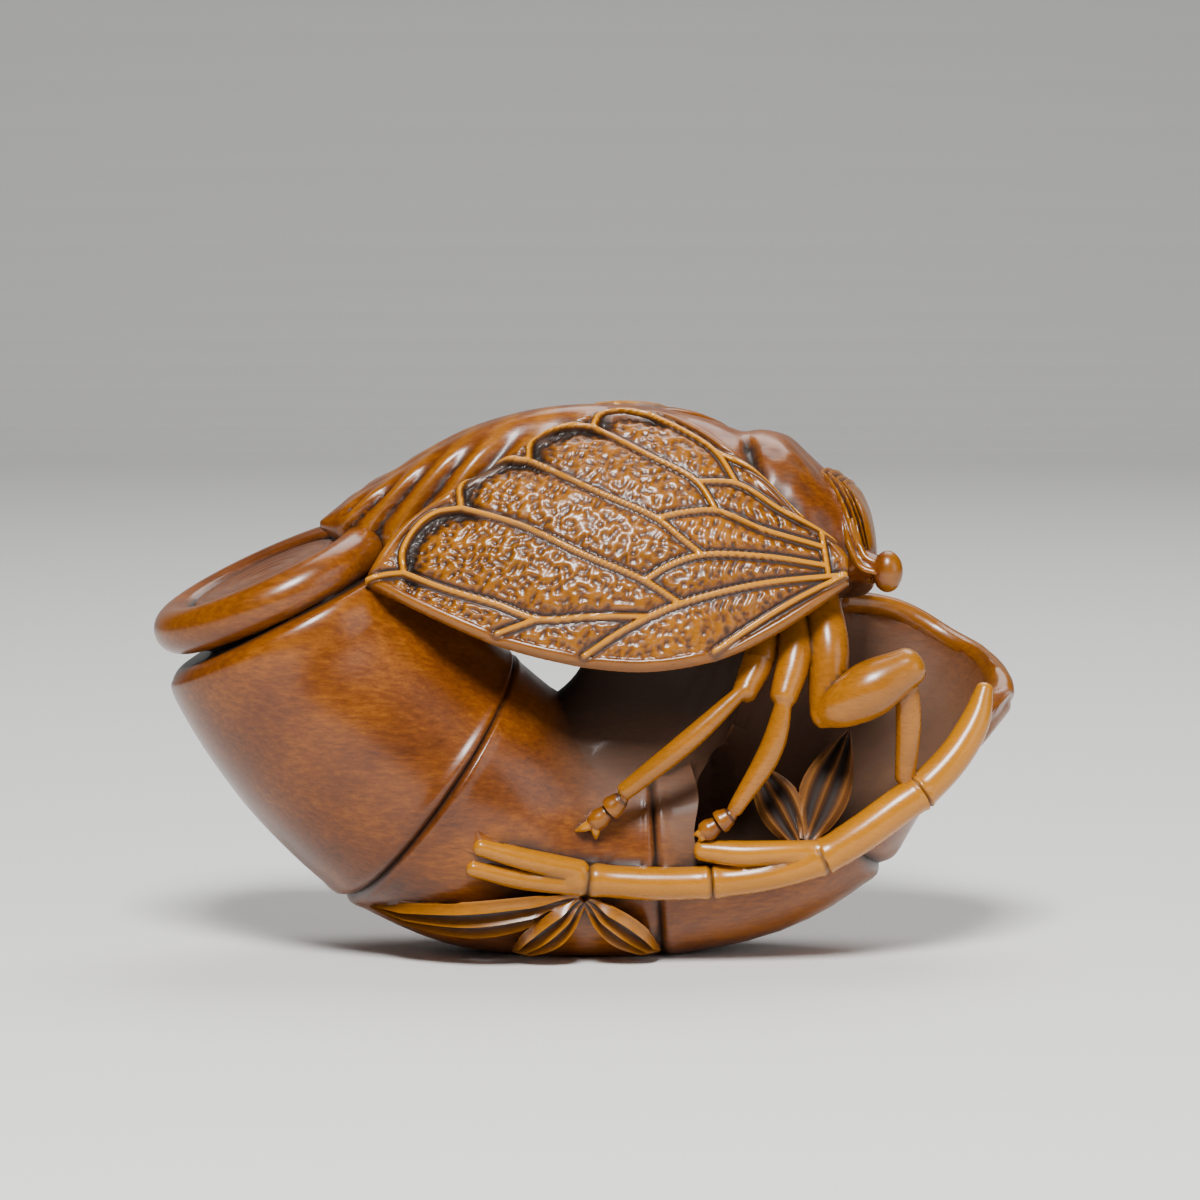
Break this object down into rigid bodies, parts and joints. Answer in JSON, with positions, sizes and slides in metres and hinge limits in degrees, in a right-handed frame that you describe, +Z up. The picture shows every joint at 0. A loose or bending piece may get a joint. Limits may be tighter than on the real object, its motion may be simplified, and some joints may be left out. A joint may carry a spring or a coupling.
{
  "type": "carved wooden cicada figurine",
  "caption": "Carved boxwood figurine of a cicada resting on a curved bamboo culm that is hollowed at one end into an open scoop.",
  "frame": {"origin": "centre of the small flat worn on the underside of the bamboo, on which the carving stands", "axes": "+X towards the pointed tip of the bamboo scoop and the insect's head, +Z up, -Y towards the side with the twig and leaves"},
  "size_m": [0.0717, 0.0306, 0.0459],
  "materials": {
    "boxwood": "stained and polished boxwood, warm orange brown, golden on the ridges and near black in the cuts"
  },
  "bodies": {
    "root": {"cicada_figurine": "boxwood"}
  },
  "joints": []
}
